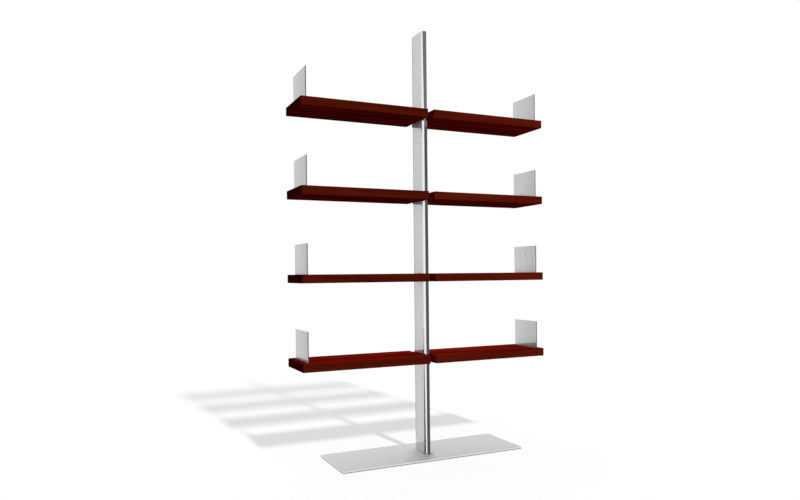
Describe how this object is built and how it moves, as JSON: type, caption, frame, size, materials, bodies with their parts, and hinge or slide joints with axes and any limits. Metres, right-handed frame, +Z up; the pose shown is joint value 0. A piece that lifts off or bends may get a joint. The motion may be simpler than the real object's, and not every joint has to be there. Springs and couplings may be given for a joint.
{
  "type": "spine bookshelf",
  "caption": "Free-standing bookshelf: an upright flat-sided steel spine on a thin base plate carries wooden boards on both sides, each with a steel bookend near its outer end.",
  "frame": {"origin": "on the floor, under the middle of the spine, which is the middle of the base plate", "axes": "+X to the right along the boards as seen from the front, +Y to the back, +Z up along the spine"},
  "size_m": [1.25, 0.304, 2.0055],
  "materials": {
    "stained_wood": "dark red stain, oiled, matt",
    "spine_steel": "fine satin sides, polished noses",
    "bookend_steel": "fine satin polish, sawn upright edges",
    "base_steel": "brushed along its length",
    "rod_steel": "bright drawn",
    "screw_steel": "blackened",
    "pad_felt": "pressed felt"
  },
  "bodies": {
    "root": {"spine": "spine_steel", "spine_cap": "spine_steel", "foot_block": "rod_steel", "base_plate": "base_steel", "foot_screws": "screw_steel", "floor_pads": "pad_felt", "board_left_level_1": "stained_wood", "bookend_left_level_1": "bookend_steel", "board_right_level_1": "stained_wood", "bookend_right_level_1": "bookend_steel", "board_left_level_2": "stained_wood", "bookend_left_level_2": "bookend_steel", "board_right_level_2": "stained_wood", "bookend_right_level_2": "bookend_steel", "board_left_level_3": "stained_wood", "bookend_left_level_3": "bookend_steel", "board_right_level_3": "stained_wood", "bookend_right_level_3": "bookend_steel", "board_left_level_4": "stained_wood", "bookend_left_level_4": "bookend_steel", "board_right_level_4": "stained_wood", "bookend_right_level_4": "bookend_steel", "cross_rod_front_level_1": "rod_steel", "cross_rod_back_level_1": "rod_steel", "cross_rod_front_level_2": "rod_steel", "cross_rod_back_level_2": "rod_steel", "cross_rod_front_level_3": "rod_steel", "cross_rod_back_level_3": "rod_steel", "cross_rod_front_level_4": "rod_steel", "cross_rod_back_level_4": "rod_steel", "locking_screws": "screw_steel"}
  },
  "joints": []
}
